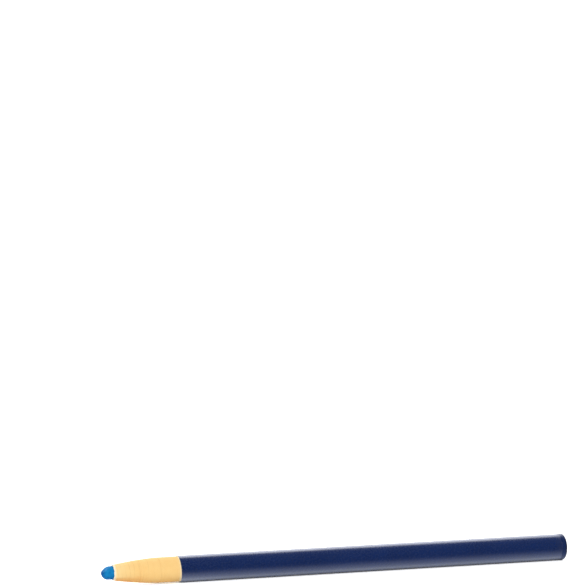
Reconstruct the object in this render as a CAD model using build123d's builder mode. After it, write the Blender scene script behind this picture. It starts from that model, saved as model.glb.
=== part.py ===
from build123d import *
import os
from math import cos, radians, sin, tan

# Peel-off china marker, in millimetres.
# A soft wax core runs the whole length of a tight roll of paper, which is scored into short peel ribbons.
# The front ribbons are bare and ground to a taper around the nib. The others lie under a coated paper cover.
# A pull thread runs through the roll below its surface, and a lacquer dip seals the tail.
# The marker lies along X on Z = 0, with its nib towards -X. The origin is below its middle.

# Overall sizes
marker_length = 178.0  # nib tip to tail face
barrel_diameter = 9.5  # over the coated cover

# Wax core
core_diameter = 4.9
nib_length = 4.2  # bare wax ahead of the paper

# Paper roll
front_section_length = 9.2  # paper front to the first score
section_length = 7.6  # from one score to the next
bare_sections = 3  # ribbons ahead of the cover
tail_roll_least_length = 14.0  # unscored roll that stays in the tail
paper_thickness = 0.18  # one turn of the roll, and so the step at its loose end
taper_length = 23.0  # paper front to the full barrel diameter
taper_facets = 5  # cones that follow the arc of the taper
front_wall = 0.4  # paper around the nib

# Coated cover
cover_thickness = 0.15
cover_seam_gap = 0.15

# Pull thread
thread_diameter = 0.5
thread_depth = 0.75  # barrel surface to the middle of the thread
thread_inset = 8.0  # end of the thread to the end of the roll

# Lacquer dip on the tail
dip_length = 2.2
dip_thickness = 0.1  # at the tail, run out to nothing at the front
dip_rounding = 0.9
dip_facets = 3  # cones that follow the rounding
tail_chamfer = 0.8  # on the paper under the lacquer

# Fits
core_clearance = 0.05  # core to the bore of the roll
thread_clearance = 0.05  # thread to its channel
glue_line = 0.02  # between layers that are glued or coated

# Angles around the axis, from +Y towards +Z
roll_seam_angle = -25.0  # loose end of the roll
cover_seam_angle = 20.0
thread_angle = 55.0

# Radii
barrel_radius = barrel_diameter / 2
core_radius = core_diameter / 2
bore_radius = core_radius + core_clearance
cover_bore_radius = barrel_radius - cover_thickness
roll_radius = cover_bore_radius - glue_line
front_radius = core_radius + front_wall
thread_radius = thread_diameter / 2
channel_width = thread_diameter + 2 * thread_clearance
thread_offset = barrel_radius - thread_depth
tail_flat_radius = barrel_radius - tail_chamfer
dip_bore_radius = barrel_radius + glue_line
dip_radius = dip_bore_radius + dip_thickness

# Stations along X
nib_tip = -marker_length / 2
tail_face = marker_length / 2
nib_dome_end = nib_tip + core_radius
paper_front = nib_tip + nib_length
first_score = paper_front + front_section_length
bare_end = first_score + (bare_sections - 1) * section_length
dip_front = tail_face - dip_length
dip_inner_face = tail_face - dip_thickness
paper_end = dip_inner_face - glue_line
chamfer_start = paper_end - tail_chamfer
covered_sections = int((paper_end - bare_end - tail_roll_least_length) // section_length)
tail_roll_front = bare_end + covered_sections * section_length
thread_end = paper_end - thread_inset

# The lowest line of the dip rests on Z = 0
axis_height = dip_radius
marker_axis = Axis((0, 0, axis_height), (1, 0, 0))
along = Plane(origin=(0, 0, axis_height), x_dir=(1, 0, 0), z_dir=(0, -1, 0))


def across(station):
    """Plane square to the axis at a station, with its own x towards +Y and its own y towards +Z."""
    return Plane(origin=(station, 0, axis_height), x_dir=(0, 1, 0), z_dir=(1, 0, 0))


def around(radius, angle):
    """Point at a radius and an angle on a plane across the axis."""
    return (radius * cos(radians(angle)), radius * sin(radians(angle)))


def write(piece, label):
    """Names a finished piece and writes its file."""
    piece.part.label = label
    export_step(piece.part, f"parts/{label}.step")


thread_place = around(thread_offset, thread_angle)

# Outline of the ground tip: it follows an arc that runs from the nib into the barrel's surface
with BuildSketch(along) as ground_outline:
    with BuildLine():
        taper = TangentArc(
            (paper_front + taper_length, barrel_radius),
            (paper_front, front_radius),
            tangent=(-1, 0),
            mode=Mode.PRIVATE,
        )
        ground = Polyline(*(taper @ (facet / taper_facets) for facet in range(taper_facets + 1)))
        Polyline(ground @ 1, (paper_front, 0), (tail_face, 0), (tail_face, barrel_radius), ground @ 0)
    make_face()


def peel_ribbon(start, end, is_ground, has_loose_end):
    """One section of the roll, up to a score. Where it is ground, the thread's channel is an open groove."""
    channel_depth = roll_radius if is_ground else channel_width
    with BuildPart() as ribbon:
        with BuildSketch(along):
            with Locations((start, bore_radius)):
                Rectangle(end - start, roll_radius - bore_radius, align=(Align.MIN, Align.MIN))
            add(ground_outline.sketch_local, mode=Mode.INTERSECT)
        revolve(axis=marker_axis)
        with BuildSketch(across(start)):
            with Locations(around(thread_offset - channel_width / 2, thread_angle)):
                Rectangle(channel_depth, channel_width, thread_angle, align=(Align.MIN, Align.CENTER))
            if has_loose_end:
                with Locations(around(roll_radius - paper_thickness, roll_seam_angle)):
                    Rectangle(2 * paper_thickness, roll_radius, roll_seam_angle, align=(Align.MIN, Align.MIN))
        extrude(amount=end - start, mode=Mode.SUBTRACT)
    return ribbon


os.makedirs("parts", exist_ok=True)

# Wax core: a rod with a blunt domed nib
with BuildPart() as wax_core:
    with BuildSketch(along):
        with BuildLine():
            dome = CenterArc((nib_dome_end, 0), core_radius, 90, arc_size=90)
            Polyline(dome @ 0, (paper_end, core_radius), (paper_end, 0), dome @ 1)
        make_face()
    revolve(axis=marker_axis)
write(wax_core, "wax_core")

# Peel ribbons, numbered from the nib. The last bare one shows the step at the loose end of the outer turn.
for number in range(1, bare_sections + covered_sections + 1):
    end = first_score + (number - 1) * section_length
    start = paper_front if number == 1 else end - section_length
    ribbon = peel_ribbon(start, end, is_ground=number < bare_sections, has_loose_end=number == bare_sections)
    write(ribbon, f"peel_ribbon_{number:02d}")

# Unscored end of the roll, chamfered at the tail, with the blind end of the thread's channel
with BuildPart() as tail_roll:
    with BuildSketch(along):
        with BuildLine():
            Polyline(
                (tail_roll_front, bore_radius),
                (tail_roll_front, roll_radius),
                (chamfer_start + barrel_radius - roll_radius, roll_radius),
                (paper_end, tail_flat_radius),
                (paper_end, bore_radius),
                close=True,
            )
        make_face()
    revolve(axis=marker_axis)
    with BuildSketch(across(tail_roll_front)):
        with Locations(thread_place):
            Rectangle(channel_width, channel_width, thread_angle)
    extrude(amount=thread_end - tail_roll_front, mode=Mode.SUBTRACT)
write(tail_roll, "tail_roll")

# Coated cover: one turn of paper around the roll, with a butt seam
with BuildPart() as coated_cover:
    with BuildSketch(along):
        with BuildLine():
            Polyline(
                (bare_end, cover_bore_radius),
                (bare_end, barrel_radius),
                (chamfer_start, barrel_radius),
                (chamfer_start + cover_thickness, cover_bore_radius),
                close=True,
            )
        make_face()
    revolve(axis=marker_axis)
    with BuildSketch(across(bare_end)):
        with Locations(around(barrel_radius, cover_seam_angle)):
            Rectangle(4 * cover_thickness, cover_seam_gap, rotation=cover_seam_angle)
    extrude(amount=paper_end - bare_end, mode=Mode.SUBTRACT)
write(coated_cover, "coated_cover")

# Pull thread: lies in its channel, cut flush with the ground tip
with BuildPart() as pull_thread:
    with BuildSketch(across(paper_front)):
        with Locations(thread_place):
            Circle(thread_radius)
    extrude(amount=thread_end - paper_front)
    revolve(ground_outline.sketch, axis=marker_axis, mode=Mode.INTERSECT)
write(pull_thread, "pull_thread")

# Lacquer dip: a thin cap over the chamfered tail, feathered out along the cover
with BuildPart() as tail_dip:
    with BuildSketch(along):
        with BuildLine():
            chamfer_gap = glue_line * tan(radians(22.5))
            rounding_center = (tail_face - dip_rounding, dip_radius - dip_rounding)
            rounding = CenterArc(rounding_center, dip_rounding, 0, arc_size=90, mode=Mode.PRIVATE)
            Polyline(
                (dip_front, dip_bore_radius),
                (chamfer_start + chamfer_gap, dip_bore_radius),
                (dip_inner_face, tail_flat_radius + chamfer_gap),
                (dip_inner_face, 0),
                (tail_face, 0),
                *(rounding @ (facet / dip_facets) for facet in range(dip_facets + 1)),
                close=True,
            )
        make_face()
    revolve(axis=marker_axis)
write(tail_dip, "tail_dip")
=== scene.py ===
from math import radians, tau

import bmesh
import bpy
import numpy as np
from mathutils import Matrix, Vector


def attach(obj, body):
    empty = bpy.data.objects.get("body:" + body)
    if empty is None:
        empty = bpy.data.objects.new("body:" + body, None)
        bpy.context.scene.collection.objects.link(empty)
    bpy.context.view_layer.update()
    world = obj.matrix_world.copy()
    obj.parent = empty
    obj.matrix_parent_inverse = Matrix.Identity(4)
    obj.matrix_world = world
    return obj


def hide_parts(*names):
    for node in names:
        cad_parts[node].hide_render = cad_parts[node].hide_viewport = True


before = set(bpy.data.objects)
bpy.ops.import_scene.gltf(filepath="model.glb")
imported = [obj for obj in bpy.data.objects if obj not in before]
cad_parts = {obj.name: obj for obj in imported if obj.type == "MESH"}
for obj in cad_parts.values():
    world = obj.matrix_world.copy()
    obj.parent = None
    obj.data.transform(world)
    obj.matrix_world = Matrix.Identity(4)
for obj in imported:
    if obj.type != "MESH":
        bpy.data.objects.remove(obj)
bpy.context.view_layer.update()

# Measures of the marker in millimetres, as in the CAD model. It lies along X with its nib towards -X.
MM = 0.001
axis_height = 4.87
barrel_radius = 4.75

# Wax core
nib_tip = -89.0
core_radius = 2.45

# Paper roll
paper_front = -84.8
paper_end = 88.88
bore_radius = 2.5
front_radius = 2.85
roll_radius = 4.58
paper_thickness = 0.18
taper_length = 23.0
front_section_length = 9.2
section_length = 7.6
bare_sections = 3
first_score = paper_front + front_section_length
roll_seam_angle = radians(-25)

# Coated cover
cover_front = first_score + (bare_sections - 1) * section_length
cover_end = 88.08
cover_bore_radius = 4.6
cover_seam_gap = 0.15
cover_seam_angle = radians(20)

# Pull thread and its channel
thread_offset = 4.0
thread_radius = 0.25
thread_end = 80.88
thread_angle = radians(55)
channel_half_width = 0.3

# Lacquer dip
dip_front = 86.8
dip_radius = 4.87
dip_bore_radius = 4.77
dip_inner_face = 88.9
tail_flat_radius = 3.95


# Shapes

def ripple(seed, waves, pitch, turns):
    """Smooth uneven height, mostly -1 to 1, over stations in mm and angles. It closes around the axis."""
    draw = np.random.default_rng(seed)
    spread = draw.uniform(0.4, 1.5, waves)
    along = tau / pitch * spread * draw.choice((-1, 1), waves)
    around = draw.integers(-turns, turns + 1, waves)
    phase = draw.uniform(0, tau, waves)

    def height(x, angle):
        waves_here = (np.sin(a * x + n * angle + p) for a, n, p in zip(along, around, phase))
        return sum(waves_here) / np.sqrt(waves)

    return height


def dented(depth, height, bias=1.2):
    """Depth of an uneven height below the full surface. The bias keeps it from standing proud."""
    return depth * (bias + height)


def smooth(value, low, high):
    """Smooth step from 0 at low to 1 at high."""
    t = np.clip((value - low) / (high - low), 0, 1)
    return t * t * (3 - 2 * t)


def away_from(angles, centre):
    """Signed angle from a centre, between -180 and 180 degrees."""
    return np.mod(angles - centre + np.pi, tau) - np.pi


def even_angles(count, extra=()):
    """Angles around the axis, with closer ones added."""
    even = np.linspace(0, tau, count, endpoint=False)
    return np.unique(np.concatenate((even, np.mod(extra, tau))))


def edge_stations(start, end, step):
    """Stations from start to end, close together at both ends."""
    lead = np.array([0, 0.012, 0.03, 0.055, 0.085, 0.12, 0.165])
    inset = 0.22
    count = max(2, round((end - start - 2 * inset) / step))
    middle = np.linspace(start + inset, end - inset, count)
    return np.concatenate((start + lead, middle, end - lead[::-1]))


def around_axis(x, r, angles):
    """Points at stations and radii, with angles from +Y towards +Z."""
    return np.stack((x, r * np.cos(angles), axis_height + r * np.sin(angles)), -1).reshape(-1, 3)


def ring_index(rows, columns):
    """Point numbers in rows around an axis. The first column is repeated to close the rows."""
    index = np.arange(rows * columns).reshape(rows, columns)
    return np.hstack((index, index[:, :1]))


def grid_faces(index):
    """Quads between neighbouring rows and columns of point numbers."""
    corners = (index[:-1, :-1], index[:-1, 1:], index[1:, 1:], index[1:, :-1])
    return np.stack(corners, -1).reshape(-1, 4).tolist()


def finish_mesh(name, points, faces, material, sharp_degrees):
    """Object from points in mm, with doubled points merged and its normals turned outwards."""
    doubled_distance = 1e-8
    mesh = bpy.data.meshes.new(name)
    mesh.from_pydata((points * MM).tolist(), [], faces)
    piece = bpy.data.objects.new(name, mesh)
    bpy.context.scene.collection.objects.link(piece)
    mesh.materials.append(material)
    work = bmesh.new()
    work.from_mesh(mesh)
    bmesh.ops.remove_doubles(work, verts=work.verts, dist=doubled_distance)
    bmesh.ops.recalc_face_normals(work, faces=work.faces)
    work.to_mesh(mesh)
    work.free()
    mesh.shade_smooth()
    mesh.set_sharp_from_angle(angle=radians(sharp_degrees))
    return piece


def triangulate(mesh):
    """Splits all faces of a mesh into triangles."""
    work = bmesh.new()
    work.from_mesh(mesh)
    bmesh.ops.triangulate(work, faces=work.faces)
    work.to_mesh(mesh)
    work.free()


def turned(name, x, r, angles, material, sharp_degrees, lines=None):
    """Piece turned from a closed profile: one row per profile point, one column per angle."""
    index = ring_index(*r.shape)
    index = np.vstack((index, index[:1]))
    piece = finish_mesh(name, around_axis(x, r, angles), grid_faces(index), material, sharp_degrees)
    if lines is not None:
        attribute = piece.data.attributes.new("layer_line", "FLOAT", "POINT")
        attribute.data.foreach_set("value", lines.reshape(-1).astype(np.float32))
    return piece


# Materials

class Looks:
    """Material with a Principled shader, and short calls that add nodes to it.

    Its place, x, y, z and r are in mm from the marker's axis.
    """

    def __init__(self, name, **constants):
        self.material = bpy.data.materials.new(name)
        self.material.use_nodes = True
        self.nodes = self.material.node_tree.nodes
        self.links = self.material.node_tree.links
        self.shader = self.nodes["Principled BSDF"]
        for socket, value in constants.items():
            self.shader.inputs[socket.replace("_", " ")].default_value = value
        place = self.add("ShaderNodeTexCoord").outputs["Object"]
        centred = self.add("ShaderNodeVectorMath", operation="SUBTRACT")
        self.put(centred.inputs[0], place)
        self.put(centred.inputs[1], (0, 0, axis_height * MM))
        scaled = self.add("ShaderNodeVectorMath", operation="SCALE")
        self.put(scaled.inputs[0], centred.outputs[0])
        self.put(scaled.inputs["Scale"], 1 / MM)
        self.place = scaled.outputs[0]
        split = self.add("ShaderNodeSeparateXYZ")
        self.put(split.inputs[0], self.place)
        self.x, self.y, self.z = split.outputs
        squares = [self.math("POWER", side, 2) for side in (self.y, self.z)]
        self.r = self.math("SQRT", self.math("ADD", *squares))

    def add(self, kind, **settings):
        """New node with its settings."""
        node = self.nodes.new(kind)
        for key, value in settings.items():
            setattr(node, key, value)
        return node

    def put(self, socket, value):
        """Links a socket to an output, or sets it to a constant."""
        if isinstance(value, bpy.types.NodeSocket):
            self.links.new(value, socket)
        else:
            socket.default_value = value

    def set(self, socket, value):
        """Links or sets a socket of the shader."""
        self.put(self.shader.inputs[socket], value)

    def math(self, operation, a, b=0.0):
        """Result of an operation on one or two values."""
        node = self.add("ShaderNodeMath", operation=operation)
        for socket, value in zip(node.inputs, (a, b)):
            self.put(socket, value)
        return node.outputs[0]

    def ramp(self, value, low, high, to_low=0.0, to_high=1.0):
        """Smooth step from one level where the value is low to another where it is high."""
        node = self.add("ShaderNodeMapRange", interpolation_type="SMOOTHSTEP")
        for socket, number in zip(node.inputs, (value, low, high, to_low, to_high)):
            self.put(socket, number)
        return node.outputs[0]

    def noise(self, scale, detail=2.0, roughness=0.5, stretch=None, distortion=0.0):
        """Noise of so many waves per mm. Stretch scales the place along X, Y and Z first."""
        node = self.add("ShaderNodeTexNoise")
        place = self.place
        if stretch:
            mapped = self.add("ShaderNodeVectorMath", operation="MULTIPLY")
            self.put(mapped.inputs[0], place)
            self.put(mapped.inputs[1], stretch)
            place = mapped.outputs[0]
        self.put(node.inputs["Vector"], place)
        self.put(node.inputs["Scale"], scale)
        self.put(node.inputs["Detail"], detail)
        self.put(node.inputs["Roughness"], roughness)
        self.put(node.inputs["Distortion"], distortion)
        return node.outputs["Fac"]

    def mix(self, share, a, b):
        """Colour a with a share of colour b."""
        node = self.add("ShaderNodeMix", data_type="RGBA")
        for socket, value in zip((node.inputs[0], node.inputs[6], node.inputs[7]), (share, a, b)):
            self.put(socket, value)
        return node.outputs[2]

    def bump(self, height, depth_mm, strength, below=None):
        """Normal of a fine relief, over another one if given."""
        node = self.add("ShaderNodeBump")
        self.put(node.inputs["Height"], height)
        self.put(node.inputs["Distance"], depth_mm * MM)
        self.put(node.inputs["Strength"], strength)
        if below is not None:
            self.put(node.inputs["Normal"], below)
        return node.outputs[0]


def make_kraft_paper():
    """Tan paper with fibres, rings and glue lines, paler at the nib and the cover, and with painted shade
    below near the nib.
    """
    deep_tan = (0.90, 0.545, 0.185, 1)
    light_tan = (0.95, 0.645, 0.250, 1)
    ring_tan = (0.82, 0.47, 0.15, 1)
    fibre_tan = (0.95, 0.77, 0.43, 1)
    nib_tan = (0.95, 0.74, 0.37, 1)
    underside_shade_tan = (0.84, 0.41, 0.125, 1)
    glue_brown = (0.47, 0.26, 0.085, 1)
    front_cream = (0.95, 0.85, 0.64, 1)
    cover_cream = (0.95, 0.82, 0.56, 1)
    paler_end = paper_front + 9
    underside_shade_end = paper_front + 16
    looks = Looks("kraft_paper", Specular_IOR_Level=0.2)
    fibres = looks.noise(7.0, 3, 0.6)
    blotches = looks.noise(0.35, 3)
    rings = looks.noise(1.0, 3, 0.55, stretch=(1.9, 0.22, 0.22), distortion=0.5)
    lines = looks.add("ShaderNodeAttribute", attribute_name="layer_line").outputs["Fac"]
    color = looks.mix(blotches, deep_tan, light_tan)
    color = looks.mix(looks.ramp(rings, 0.5, 0.75, 0, 0.16), color, ring_tan)
    color = looks.mix(looks.ramp(fibres, 0.35, 0.75, 0, 0.2), color, fibre_tan)

    # Paler towards the nib, a painted shade of darker orange below near the nib, and the glue lines over
    # both
    uneven_z = looks.math("ADD", looks.z, looks.math("MULTIPLY", blotches, 2.0))
    below = looks.ramp(uneven_z, -1.6, 0.4, 1, 0)
    near_nib = looks.ramp(looks.x, paper_front, paler_end, 0.5, 0.0)
    near_nib = looks.math("MULTIPLY", near_nib, looks.math("SUBTRACT", 1.0, below))
    color = looks.mix(near_nib, color, nib_tan)
    # Painted shade: darker orange on the underside near the nib
    painted_underside_shade = looks.math("MULTIPLY", below, looks.ramp(looks.x, paper_front, underside_shade_end, 0.75, 0.0))
    color = looks.mix(painted_underside_shade, color, underside_shade_tan)
    color = looks.mix(looks.math("MULTIPLY", lines, 0.26), color, glue_brown)

    # Pale rims around the nib and beside the cover
    uneven_x = looks.math("ADD", looks.x, looks.math("MULTIPLY", looks.noise(1.6, 2), 0.35))
    front_edge = looks.ramp(uneven_x, paper_front + 0.4, paper_front + 1.1, 0.85, 0)
    color = looks.mix(front_edge, color, front_cream)
    beside_cover = looks.ramp(uneven_x, cover_front - 0.4, cover_front, 0, 0.75)
    outside = looks.ramp(looks.r, 4.3, 4.4)
    beside_cover = looks.math("MULTIPLY", beside_cover, outside)
    color = looks.mix(beside_cover, color, cover_cream)
    looks.set("Base Color", color)
    looks.set("Roughness", looks.ramp(rings, 0.2, 0.8, 0.62, 0.8))
    grain = looks.bump(fibres, 0.02, 0.6)
    looks.set("Normal", looks.bump(rings, 0.012, 0.3, below=grain))
    return looks.material


def make_coated_paper():
    """Navy coated paper: half gloss over faint grain, duller towards the tail, with a cream cut edge."""
    deep_navy = (0.0010, 0.0147, 0.087, 1)
    light_navy = (0.0018, 0.0202, 0.115, 1)
    grain_navy = (0.005, 0.027, 0.136, 1)
    cut_cream = (0.86, 0.78, 0.58, 1)
    bare_radius = 4.695
    coated_radius = 4.71
    dull_start = 83.5
    dull_end = 87
    looks = Looks("coated_paper", Specular_IOR_Level=1.0)
    grain = looks.noise(1.3, 2, 0.5)
    long_grain = looks.noise(1.0, 2, 0.5, stretch=(0.06, 1.1, 1.1))
    clouds = looks.noise(0.09, 3)
    color = looks.mix(clouds, deep_navy, light_navy)
    color = looks.mix(looks.ramp(long_grain, 0.5, 0.8, 0, 0.25), color, grain_navy)
    cut_edge = looks.ramp(looks.r, bare_radius, coated_radius, 1, 0)
    color = looks.mix(cut_edge, color, cut_cream)
    looks.set("Base Color", color)
    roughness = looks.ramp(grain, 0.25, 0.75, 0.24, 0.30)
    roughness = looks.math("ADD", roughness, looks.ramp(looks.x, dull_start, dull_end, 0, 0.10))
    roughness = looks.math("ADD", roughness, looks.math("MULTIPLY", cut_edge, 0.4))
    looks.set("Roughness", roughness)
    peel = looks.bump(grain, 0.0003, 0.5)
    looks.set("Normal", looks.bump(long_grain, 0.0006, 0.4, below=peel))
    return looks.material


def make_blue_wax():
    """Blue marking wax: mottled, smeared, slightly see-through, with painted shade below, and darker at
    the worn tip.
    """
    deep_blue = (0.004, 0.143, 0.395, 1)
    light_blue = (0.008, 0.268, 0.59, 1)
    smear_blue = (0.002, 0.070, 0.24, 1)
    grain_blue = (0.022, 0.30, 0.66, 1)
    shaded_underside_blue = (0.003, 0.085, 0.29, 1)
    worn_blue = (0.002, 0.075, 0.28, 1)
    looks = Looks(
        "blue_wax",
        Subsurface_Weight=0.12,
        Subsurface_Radius=(0.15, 0.45, 1.0),
        Subsurface_Scale=0.4 * MM,
        Specular_IOR_Level=0.06,
    )
    mottle = looks.noise(0.9, 4, 0.6)
    smears = looks.noise(1.1, 3, 0.55, stretch=(0.5, 1.4, 1.4), distortion=0.6)
    grain = looks.noise(6.0, 3, 0.6)
    color = looks.mix(mottle, deep_blue, light_blue)
    color = looks.mix(looks.ramp(smears, 0.52, 0.7, 0, 0.55), color, smear_blue)
    color = looks.mix(looks.ramp(grain, 0.56, 0.75, 0, 0.2), color, grain_blue)
    # Painted shade: darker blue on the lower side of the nib
    below = looks.ramp(looks.math("ADD", looks.z, smears), -1.6, 0.2, 0.5, 0)
    color = looks.mix(below, color, shaded_underside_blue)
    smeared_x = looks.math("ADD", looks.x, looks.math("MULTIPLY", smears, 1.2))
    worn = looks.ramp(smeared_x, nib_tip + 0.5, nib_tip + 2.0, 0.85, 0)
    color = looks.mix(worn, color, worn_blue)
    looks.set("Base Color", color)
    looks.set("Roughness", looks.ramp(smears, 0.3, 0.7, 0.48, 0.64))
    fine = looks.bump(grain, 0.025, 0.5)
    looks.set("Normal", looks.bump(smears, 0.06, 0.5, below=fine))
    return looks.material


def make_cotton_thread():
    """Off-white cotton with fine fibres along it."""
    dull_cotton = (0.66, 0.58, 0.44, 1)
    pale_cotton = (0.90, 0.86, 0.76, 1)
    looks = Looks("cotton_thread", Specular_IOR_Level=0.2, Sheen_Weight=0.3)
    fibres = looks.noise(9.0, 2, 0.5, stretch=(0.25, 1, 1))
    looks.set("Base Color", looks.mix(fibres, dull_cotton, pale_cotton))
    looks.set("Roughness", looks.ramp(fibres, 0.2, 0.8, 0.75, 0.95))
    looks.set("Normal", looks.bump(fibres, 0.03, 0.7))
    return looks.material


def make_navy_lacquer():
    """Very dark lacquer, thinner and bluer in front of the tail's rounding."""
    thin_navy = (0.0025, 0.0165, 0.086, 1)
    thick_navy = (0.0075, 0.0120, 0.044, 1)
    thin_end = 88.2
    thick_start = 88.9
    looks = Looks("navy_lacquer", Specular_IOR_Level=0.4)
    waves = looks.noise(0.7, 2)
    uneven_x = looks.math("ADD", looks.x, looks.math("MULTIPLY", waves, 0.5))
    looks.set("Base Color", looks.mix(looks.ramp(uneven_x, thin_end, thick_start), thin_navy, thick_navy))
    looks.set("Roughness", looks.ramp(waves, 0.3, 0.7, 0.30, 0.42))
    looks.set("Normal", looks.bump(waves, 0.03, 0.6))
    return looks.material


kraft_paper = make_kraft_paper()
coated_paper = make_coated_paper()
blue_wax = make_blue_wax()
cotton_thread = make_cotton_thread()
navy_lacquer = make_navy_lacquer()


# Wax core

def make_core():
    """Rod with a blunt, uneven nib."""
    rod_front = -86.4
    uneven_end = -60.0
    rod_step = 0.3
    worn_end = -85.4
    pressed_share = 0.85
    lump_depth = 0.012
    crumb_depth = 0.004
    angles = even_angles(144)
    shape = np.ones((1, len(angles)))
    turn = np.linspace(0, tau / 4, 46)[:, None]
    dome_centre = nib_tip + core_radius
    x_dome = dome_centre - core_radius * np.cos(turn)
    r_dome = core_radius * np.sin(turn)
    hidden = [-55.0, 0.0, 60.0, paper_end, paper_end]
    x_rod = np.concatenate((np.arange(rod_front, uneven_end, rod_step), hidden))[:, None]
    r_rod = np.full_like(x_rod, core_radius)
    r_rod[-1] = 0
    x = np.vstack((x_dome, x_rod)) * shape
    r = np.vstack((r_dome, r_rod)) * shape
    points = np.stack((x, r * np.cos(angles), r * np.sin(angles)), -1)

    # Flats that use has pressed into the nib, each with its direction and its depth below the dome
    flats = (
        ((-0.62, -0.10, 0.82), 0.86),
        ((-0.99, -0.12, -0.05), 0.06),
        ((-0.75, -0.60, 0.25), 0.10),
        ((-0.60, 0.70, 0.40), 0.16),
        ((-0.70, 0.50, -0.50), 0.10),
        ((-0.45, 0.86, -0.25), 0.08),
        ((-0.55, -0.65, -0.52), 0.05),
        ((-0.10, -0.86, 0.50), 0.03),
    )
    ahead = 1 - smooth(x, worn_end, paper_front)
    for direction, depth in flats:
        normal = np.array(Vector(direction).normalized())
        reach = points @ normal - dome_centre * normal[0]
        above = np.maximum(reach - core_radius + depth, 0) * pressed_share * ahead
        points = points - above[..., None] * normal

    # Uneven wax, strongest on the nib
    lumps = ripple(seed=21, waves=14, pitch=2.2, turns=5)
    crumbs = ripple(seed=22, waves=24, pitch=0.7, turns=14)
    off_pole = smooth(r, 0.15, 0.9)
    in_front = smooth(-x, -uneven_end, 1 - uneven_end)
    uneven = dented(lump_depth, lumps(x, angles)) + dented(crumb_depth, crumbs(x, angles))
    uneven = uneven * (0.25 + 0.75 * ahead) * off_pole * in_front
    radial = np.stack(np.broadcast_arrays(0 * x, np.cos(angles), np.sin(angles)), -1)
    points = points - uneven[..., None] * radial
    points[..., 2] += axis_height
    faces = grid_faces(ring_index(*x.shape))
    return finish_mesh("wax_core_visual", points.reshape(-1, 3), faces, blue_wax, 60)


core = make_core()
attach(core, "barrel")
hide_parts("wax_core")


# Peel ribbons

taper_drop = barrel_radius - front_radius
taper_arc_radius = (taper_length**2 + taper_drop**2) / (2 * taper_drop)
channel_half_angle = np.arcsin(channel_half_width / thread_offset)

winding = ripple(seed=3, waves=9, pitch=26, turns=2)
grinding = ripple(seed=5, waves=40, pitch=0.55, turns=2)
grinding_share = ripple(seed=6, waves=7, pitch=5, turns=3)
nap = ripple(seed=7, waves=26, pitch=0.9, turns=30)
score_waver = ripple(seed=11, waves=9, pitch=9, turns=7)
front_waver = ripple(seed=12, waves=10, pitch=9, turns=14)


def ground_radius(x):
    """Radius of the ground tip at a station."""
    run = np.clip(paper_front + taper_length - x, 0, taper_length)
    return barrel_radius - taper_arc_radius + np.sqrt(taper_arc_radius**2 - run**2)


def ribbon_span(number):
    """Stations of a ribbon's front and back end."""
    end = first_score + (number - 1) * section_length
    return (paper_front if number == 1 else end - section_length), end


def ribbon_angles(number):
    """Angles of a ribbon's points, closer at the open channel of the thread or at the roll's loose end."""
    extra = ()
    if number < bare_sections:
        aside = np.array([0, 0.5, 0.9, 0.98, 1, 1.02, 1.06])
        extra = thread_angle + channel_half_angle * np.concatenate((-aside, aside))
    elif number == bare_sections:
        degrees = np.array([-1.2, -0.5, -0.12, 0, 0.1, 0.6, 2, 4, 6, 8, 10, 12, 14, 16])
        extra = roll_seam_angle + radians(1) * degrees
    return even_angles(168, extra)


def layer_lines(x, r, angles, width):
    """Share of a glue line between two turns of the roll, 1 in its middle."""
    turns = (roll_radius - r) / paper_thickness
    turns = turns + away_from(angles, roll_seam_angle) / tau + 0.4 * winding(x, angles)
    distance = np.abs(turns - np.round(turns)) * paper_thickness
    return np.exp(-((distance / width) ** 2))


def ground_lines(x, r, angles):
    """Share of the glue lines where the grinding cuts through the turns, stronger in some places."""
    width_along = 0.07
    slope = np.clip(paper_front + taper_length - x, 0.6, taper_length) / taper_arc_radius
    width = np.clip(width_along * slope, 0.004, 0.02)
    cut_through = smooth(roll_radius - r, 0.02, 0.2)
    lines = layer_lines(x, r, angles, width) * cut_through
    return lines * np.clip(0.65 + 0.5 * grinding_share(x, angles), 0.15, 1)


def paper_relief(x, lines, angles, start, end):
    """Depth of the glue lines, grinding rings and nap, and of the worn edges at both ends."""
    line_depth = 0.008
    grinding_depth = 0.0014
    nap_depth = 0.0025
    edge_rounding = 0.1
    edge_unevenness = 0.03
    worn_share = 0.9
    ring_share = np.clip(0.6 + 0.4 * grinding_share(x, angles), 0, 1)
    relief = line_depth * lines
    relief = relief + dented(grinding_depth, grinding(x, angles)) * ring_share
    relief = relief + dented(nap_depth, nap(x, angles))
    rounding = edge_rounding + edge_unevenness * score_waver(start, angles)
    from_edge = np.minimum(x - start, end - x)
    inside = np.clip(1 - from_edge / rounding, 0, 1)
    return relief + rounding * (1 - np.sqrt(1 - inside**2)) * worn_share


def end_face(station, r_edge, angles, inwards):
    """Rows of an end face from its edge to the bore: stations, radii and shares of the glue lines."""
    row_height = 0.045
    line_width = 0.022
    line_depth = 0.03
    nap_depth = 0.004
    rim = 0.1
    rows = max(3, int((r_edge.max() - bore_radius) / row_height))
    share = np.linspace(0, 1, rows + 2)[1:-1, None]
    r = bore_radius + (r_edge - bore_radius) * (1 - share)
    fade = smooth(r_edge - r, 0, rim) * smooth(r - bore_radius, 0, rim)
    lines = layer_lines(station, r, angles, line_width)
    depth = fade * (line_depth * lines + dented(nap_depth, nap(r * 3, angles), bias=1))
    return station + inwards * depth, r, lines * fade


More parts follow.
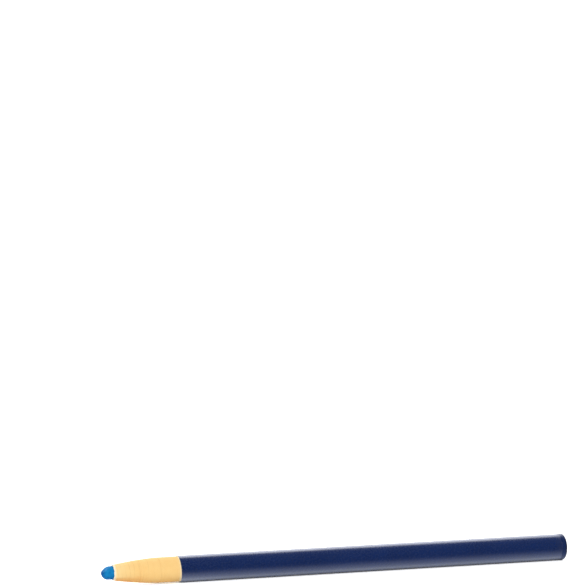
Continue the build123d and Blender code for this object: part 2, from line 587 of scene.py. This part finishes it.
def make_ribbon(name, number, step):
    """One peel ribbon: a ring of the roll with worn edges, glue lines and the thread's open channel."""
    least_wall = 0.02
    loose_end_width = radians(20)
    open_share = 0.985
    score_half_gap = 0.012
    score_waver_depth = 0.018
    front_waver_depth = 0.05
    start, end = ribbon_span(number)
    angles = ribbon_angles(number)
    shape = np.ones((1, len(angles)))
    x_outer = edge_stations(start, end, step)[:, None] * shape
    r_outer = np.minimum(ground_radius(x_outer), roll_radius)
    lines_outer = ground_lines(x_outer, r_outer, angles)

    # Step at the loose end of the outer turn
    if number == bare_sections:
        past = away_from(angles, roll_seam_angle)
        flat = (roll_radius - paper_thickness) / np.cos(np.clip(past, 0, loose_end_width))
        r_outer = np.where((past > 0) & (past < loose_end_width), np.minimum(r_outer, flat), r_outer)

    relief = paper_relief(x_outer, lines_outer, angles, start, end)
    r_outer = np.maximum(r_outer - relief, bore_radius + least_wall)

    # Open channel of the thread on the ground ribbons, with its walls just inside its half width
    if number < bare_sections:
        aside = away_from(angles, thread_angle)
        channel_floor = (thread_offset - channel_half_width) / np.cos(np.clip(aside, -0.2, 0.2))
        is_open = np.abs(aside) <= channel_half_angle * open_share
        r_outer = np.where(is_open, np.minimum(r_outer, channel_floor), r_outer)

    # End faces, bore and the whole loop
    x_back, r_back, lines_back = end_face(end, r_outer[-1:], angles, -1)
    x_front, r_front, lines_front = (rows[::-1] for rows in end_face(start, r_outer[:1], angles, 1))
    x_bore = np.linspace(end, start, 9)[:, None] * shape
    r_bore = np.full_like(x_bore, bore_radius)
    x = np.vstack((x_outer, x_back, x_bore, x_front))
    r = np.vstack((r_outer, r_back, r_bore, r_front))
    lines = np.vstack((lines_outer, lines_back, np.zeros_like(x_bore), lines_front))

    # The scores waver a little, and the worn front edge around the nib more
    along = np.clip((x - start) / (end - start), 0, 1)
    waver_front = score_waver_depth * score_waver(start, angles)
    if number == 1:
        waver_front = front_waver_depth * front_waver(0, angles)
    waver_back = score_waver_depth * score_waver(end, angles)
    x = x + (1 - along) ** 3 * (waver_front + score_half_gap) + along**3 * (waver_back - score_half_gap)
    return turned(name, x, r, angles, kraft_paper, 55, lines)


def bore_channel(piece, number):
    """Cuts the thread's closed channel through a ribbon at the roll's full diameter."""
    sides = 20
    overlap = 1
    start, end = ribbon_span(number)
    turns = np.linspace(0, tau, sides, endpoint=False)
    y = thread_offset * np.cos(thread_angle) + channel_half_width * np.cos(turns)
    z = axis_height + thread_offset * np.sin(thread_angle) + channel_half_width * np.sin(turns)
    rows = [np.stack((np.full_like(y, x), y, z), -1) for x in (start - overlap, end + overlap)]
    index = ring_index(2, sides)
    faces = grid_faces(index) + index[:, :-1].tolist()
    cutter = finish_mesh("cutter", np.vstack(rows), faces, kraft_paper, 40)
    triangulate(piece.data)
    triangulate(cutter.data)
    cut = piece.modifiers.new("channel", "BOOLEAN")
    cut.operation = "DIFFERENCE"
    cut.solver = "EXACT"
    cut.object = cutter
    bpy.context.view_layer.update()
    evaluated = piece.evaluated_get(bpy.context.evaluated_depsgraph_get())
    result = bpy.data.meshes.new_from_object(evaluated)
    piece.modifiers.clear()
    piece.data = result
    bpy.data.objects.remove(cutter)


# The bare ribbons and the first covered one, whose front face shows when they are off
bare_step = 0.075
covered_step = 2.0
for number in range(1, bare_sections + 2):
    is_bare = number <= bare_sections
    step = bare_step if is_bare else covered_step
    piece = make_ribbon(f"peel_ribbon_{number:02d}_visual", number, step)
    if number >= bare_sections:
        bore_channel(piece, number)
    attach(piece, f"ribbon_{number}" if is_bare else "barrel")
    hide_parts(f"peel_ribbon_{number:02d}")


# Coated cover

def make_cover():
    """One turn of paper with a butt seam, faint swells and a slightly slanted front edge."""
    swell_depth = 0.006
    cockle_depth = 0.0022
    front_rounding = 0.05
    front_rounding_depth = 0.035
    seam_rounding = radians(0.7)
    seam_rounding_depth = 0.02
    waver_depth = 0.022
    slant = 0.55
    slant_shift = 0.13
    slant_end = 1.6
    half_gap = cover_seam_gap / 2 / barrel_radius
    angles = cover_seam_angle + np.linspace(half_gap, tau - half_gap, 181)
    near_seam = cover_seam_angle + half_gap + radians(1) * np.array([0.15, 0.4, 0.8, 1.3])
    angles = np.unique(np.concatenate((angles, near_seam, 2 * cover_seam_angle + tau - near_seam)))
    lead = np.array([0, 0.015, 0.04, 0.08, 0.14, 0.22, 0.34, 0.5, 0.75, 1.1, 1.6])
    middle = np.arange(cover_front + 2.4, cover_end - 0.6, 1.1)
    x_row = np.concatenate((cover_front + lead, middle, [cover_end - 0.3, cover_end]))
    x_outer = x_row[:, None] * np.ones((1, len(angles)))

    # Swells over the whole cover, smoother just behind the front edge, and rounded edges
    swell = ripple(seed=31, waves=16, pitch=24, turns=4)
    cockle = ripple(seed=32, waves=20, pitch=6, turns=9)
    relief = dented(swell_depth, swell(x_outer, angles), bias=1.4)
    relief = relief + dented(cockle_depth, cockle(x_outer, angles), bias=1.4)
    from_front = x_outer - cover_front
    relief = relief + front_rounding_depth * np.clip(1 - from_front / front_rounding, 0, 1) ** 2
    relief = relief * (1 - 0.6 * smooth(from_front, 0.05, 0.2) * (1 - smooth(from_front, 0.3, 0.9)))
    to_seam = np.minimum(angles - angles[0], angles[-1] - angles)
    relief = relief + seam_rounding_depth * np.clip(1 - to_seam / seam_rounding, 0, 1) ** 2
    r_outer = barrel_radius - relief
    r_inner = np.full_like(r_outer, cover_bore_radius)

    # The front edge wavers and slants back towards the underside. The tail end is bevelled.
    waver = ripple(seed=33, waves=10, pitch=9, turns=9)
    skew = slant * ((1 - np.sin(angles)) / 2) ** 1.6
    front_shift = waver_depth * waver(0, angles) - slant_shift + skew
    x_outer = x_outer + front_shift * (1 - smooth(from_front, 0, slant_end))
    x_inner = x_outer.copy()
    x_inner[-1] = cover_end + barrel_radius - cover_bore_radius
    x = np.vstack((x_outer, x_inner[::-1]))
    r = np.vstack((r_outer, r_inner))

    # The loop of the profile along the cover, and the two edges at the seam
    rows, columns = r.shape
    index = np.arange(rows * columns).reshape(rows, columns)
    faces = grid_faces(np.vstack((index, index[:1])))
    for column in (0, columns - 1):
        outer = index[: rows // 2, column]
        inner = index[rows // 2:, column][::-1]
        faces += grid_faces(np.stack((outer, inner), -1))
    return finish_mesh("coated_cover_visual", around_axis(x, r, angles), faces, coated_paper, 35)


cover = make_cover()
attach(cover, "barrel")
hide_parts("coated_cover")


# Lacquer dip on the tail

def make_dip():
    """Thin film that swells to a lip, the rounding of the lip, and a slightly dished end face."""
    lip = 88.22
    lip_depth = 0.779
    lip_height = 0.868
    edge_film = 0.01
    even_film = 0.042
    lip_film = 0.068
    film_run_in = 0.06
    lip_run_in = 0.08
    swell_start = 87.1
    swell_end = 88.3
    box_play = 0.002
    film_length = lip - lip_run_in - dip_front
    face_radius = dip_radius - box_play - lip_height
    face_dish = 0.053
    chamfer_gap = 0.01
    inner_edge = 0.15
    inner_edge_gap = 0.004
    run_out_start = 86.9
    run_out_end = 87.9
    run_out_shift = 0.16
    run_out_unevenness = 0.11
    sag_start = 87.4
    sag_depth = 0.007
    angles = even_angles(168)
    shape = np.ones((1, len(angles)))
    x_film = dip_front + film_length * np.linspace(0, 1, 12) ** 1.5
    film = edge_film + even_film * (1 - np.exp((dip_front - x_film) / film_run_in))
    film = film + lip_film * smooth(x_film, swell_start, swell_end)
    turn = np.linspace(0, tau / 4, 17)
    r_face = np.linspace(face_radius, 0, 13)[1:]
    x_face = lip + lip_depth - face_dish * (1 - smooth(r_face, 0.3, 3.6))
    x_outer = np.concatenate((x_film, lip + lip_depth * np.sin(turn), x_face))
    r_outer = np.concatenate((barrel_radius + film, face_radius + lip_height * np.cos(turn), r_face))

    # The inside follows the chamfered tail and meets the film's edge on the cover
    x_inner = [dip_inner_face, dip_inner_face, cover_end + chamfer_gap, dip_front + inner_edge]
    r_inner = [0.0, tail_flat_radius, dip_bore_radius, barrel_radius + inner_edge_gap]
    x = np.concatenate((x_outer, x_inner))[:, None] * shape
    r = np.concatenate((r_outer, r_inner))[:, None] * shape

    # Uneven run-out at the front, and sags over the rest
    runs = ripple(seed=41, waves=10, pitch=5, turns=8)
    wave = ripple(seed=42, waves=12, pitch=3, turns=6)
    run_out = 1 - smooth(x, run_out_start, run_out_end)
    x = x + (run_out_shift + run_out_unevenness * runs(0, angles)) * run_out
    is_outer = np.arange(len(x))[:, None] < len(x_outer)
    sag = dented(sag_depth, wave(x, angles), bias=1.3) * smooth(r, 0.5, 2.5) * is_outer
    sag = sag * smooth(x, run_out_start, sag_start)
    r = np.maximum(r - sag, 0)
    return turned("tail_dip_visual", x, r, angles, navy_lacquer, 60)


dip = make_dip()
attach(dip, "barrel")
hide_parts("tail_dip")


# Pull thread

def make_thread():
    """Three strands twisted together, cut flush with the ground tip."""
    thread_front = -78.4
    fine_end = -50
    fine_step = 0.09
    hidden_step = 0.4
    strands = 3
    lay = 1.5
    valley_share = 0.70
    lobe_share = 0.30
    fuzz_depth = 0.006
    below_paper = 0.02
    fine = np.arange(thread_front, fine_end, fine_step)
    stations = np.concatenate((fine, np.arange(fine_end, thread_end, hidden_step), [thread_end]))
    turns = np.linspace(0, tau, 30, endpoint=False)
    twist = tau * stations[:, None] / lay
    fuzz = ripple(seed=51, waves=18, pitch=0.5, turns=6)
    lobes = np.abs(np.cos(strands / 2 * (turns - twist)))
    r = thread_radius * (valley_share + lobe_share * lobes**0.7)
    r = r - dented(fuzz_depth, fuzz(stations[:, None], turns), bias=1)
    r = np.minimum(r, thread_radius)
    y = thread_offset * np.cos(thread_angle) + r * np.cos(turns)
    z = thread_offset * np.sin(thread_angle) + r * np.sin(turns)
    x = stations[:, None] + 0 * y
    scale = np.minimum(1, (ground_radius(x) - below_paper) / np.hypot(y, z))
    points = np.stack((x, y * scale, axis_height + z * scale), -1)
    index = ring_index(*x.shape)
    faces = grid_faces(index) + index[[0, -1], :-1].tolist()
    return finish_mesh("pull_thread_visual", points.reshape(-1, 3), faces, cotton_thread, 50)


thread = make_thread()
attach(thread, "thread")
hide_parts("pull_thread")

# The other ribbons and the roll's end keep their CAD shape under the cover
for name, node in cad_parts.items():
    if name == "tail_roll" or name.startswith("peel_ribbon"):
        node.data.materials.clear()
        node.data.materials.append(kraft_paper)


# Studio, in metres

def make_floor():
    """Wide white floor.

    It glows a little for the camera, so that it is white up to the marker's shadow.
    In mirrored light it glows most beside the marker, which paints a bright reflection on the lower half
    of the barrel.
    It adds no other light to the marker.
    """
    size = 30.0
    level = -0.02 * MM
    camera_glow = 0.6
    mirrored_color = (0.86, 0.91, 1.0, 1)
    mirrored_least = 0.03
    half_fade_mm = 3.6
    front_glow = 3.9
    back_glow = 3.0
    glow_start_mm = -66
    glow_end_mm = -30
    mesh = bpy.data.meshes.new("floor")
    corners = [(-size, -size, level), (size, -size, level), (size, size, level), (-size, size, level)]
    mesh.from_pydata(corners, [], [(0, 1, 2, 3)])
    floor = bpy.data.objects.new("floor", mesh)
    bpy.context.scene.collection.objects.link(floor)
    looks = Looks("floor", Base_Color=(0.9, 0.9, 0.9, 1), Roughness=0.9, Specular_IOR_Level=0.0)
    path = looks.add("ShaderNodeLightPath").outputs

    def openness(reach_mm):
        near = looks.add("ShaderNodeAmbientOcclusion", samples=8)
        looks.put(near.inputs["Distance"], reach_mm * MM)
        return near.outputs["AO"]

    shown = looks.ramp(openness(0.6), 0.1, 0.45, 0, camera_glow)
    looks.set("Emission Color", (1, 1, 1, 1))
    looks.set("Emission Strength", looks.math("MULTIPLY", shown, path["Is Camera Ray"]))
    # Glow for mirrored rays only: it paints a bright reflection on the barrel's lower half
    gap = openness(1.0)
    fade = looks.math("POWER", 0.5, looks.math("DIVIDE", looks.math("ABSOLUTE", looks.y), half_fade_mm))
    strength = looks.ramp(looks.x, glow_start_mm, glow_end_mm, front_glow, back_glow)
    glow = looks.math("MULTIPLY", fade, looks.math("MULTIPLY", gap, strength))
    mirrored = looks.add("ShaderNodeEmission")
    looks.put(mirrored.inputs["Color"], mirrored_color)
    looks.put(mirrored.inputs["Strength"], looks.math("ADD", glow, mirrored_least))
    surface = looks.add("ShaderNodeMixShader")
    looks.put(surface.inputs[0], path["Is Glossy Ray"])
    looks.put(surface.inputs[1], looks.shader.outputs[0])
    looks.put(surface.inputs[2], mirrored.outputs[0])
    looks.put(looks.nodes["Material Output"].inputs["Surface"], surface.outputs[0])
    mesh.materials.append(looks.material)


def make_world():
    """White for the camera. In mirrored light, a white sweep behind the marker and a dim room in front."""
    camera_level = 1.0
    diffuse_level = 0.73
    sweep_levels = (0.3, 0.9, 0.0, 0.9)
    room_levels = (-1.0, 0.3, 0.0, 0.13)
    world = bpy.data.worlds.new("studio")
    bpy.context.scene.world = world
    world.use_nodes = True
    nodes = world.node_tree.nodes
    links = world.node_tree.links
    background = nodes["Background"]
    background.inputs["Color"].default_value = (1, 1, 1, 1)

    # Each range gives the directions along Y where it starts and ends, and its levels there
    place = nodes.new("ShaderNodeTexCoord")
    split = nodes.new("ShaderNodeSeparateXYZ")
    links.new(place.outputs["Generated"], split.inputs[0])
    sweep = nodes.new("ShaderNodeMapRange")
    sweep.interpolation_type = "SMOOTHSTEP"
    room = nodes.new("ShaderNodeMapRange")
    for node, levels in ((sweep, sweep_levels), (room, room_levels)):
        links.new(split.outputs["Y"], node.inputs[0])
        for socket, value in zip(node.inputs[1:], levels):
            socket.default_value = value
    mirrored = nodes.new("ShaderNodeMath")
    links.new(sweep.outputs[0], mirrored.inputs[0])
    links.new(room.outputs[0], mirrored.inputs[1])

    path = nodes.new("ShaderNodeLightPath")
    lighting = nodes.new("ShaderNodeMix")
    links.new(path.outputs["Is Diffuse Ray"], lighting.inputs[0])
    lighting.inputs[2].default_value = camera_level
    lighting.inputs[3].default_value = diffuse_level
    level = nodes.new("ShaderNodeMix")
    links.new(path.outputs["Is Glossy Ray"], level.inputs[0])
    links.new(lighting.outputs[0], level.inputs[2])
    links.new(mirrored.outputs[0], level.inputs[3])
    links.new(level.outputs[0], background.inputs["Strength"])


def make_lamps():
    """Large soft box above and behind the marker, and a broad light from the camera's upper left."""
    lamp = bpy.data.lights.new("soft_box", "AREA")
    lamp.shape = "RECTANGLE"
    lamp.size = 2.6
    lamp.size_y = 1.2
    lamp.energy = 24
    lamp.color = (0.90, 0.93, 1.0)
    box = bpy.data.objects.new("soft_box", lamp)
    box.location = (0.50, 1.17, 0.98)
    box.visible_camera = False
    towards_box = box.location.copy()
    sun = bpy.data.lights.new("broad_light", "SUN")
    sun.energy = 1.0
    sun.angle = radians(30)
    broad = bpy.data.objects.new("broad_light", sun)
    towards_sun = Vector((-0.52, -0.66, 0.54))
    for light, towards in ((box, towards_box), (broad, towards_sun)):
        bpy.context.scene.collection.objects.link(light)
        light.rotation_mode = "QUATERNION"
        light.rotation_quaternion = (-towards).to_track_quat("-Z", "Y")


def make_camera():
    """Camera at the photograph's place, for an image of 569 by 585."""
    looking_along = Vector((0.3091, 0.9450, -0.10670))
    data = bpy.data.cameras.new("camera")
    data.sensor_width = 36
    data.lens = 234.1
    data.clip_end = 100
    camera = bpy.data.objects.new("camera", data)
    bpy.context.scene.collection.objects.link(camera)
    camera.location = (-0.4437, -1.2953, 0.2498)
    camera.rotation_mode = "QUATERNION"
    camera.rotation_quaternion = looking_along.to_track_quat("-Z", "Y")
    bpy.context.scene.camera = camera


make_floor()
make_world()
make_lamps()
make_camera()
bpy.context.scene.view_settings.view_transform = "Standard"
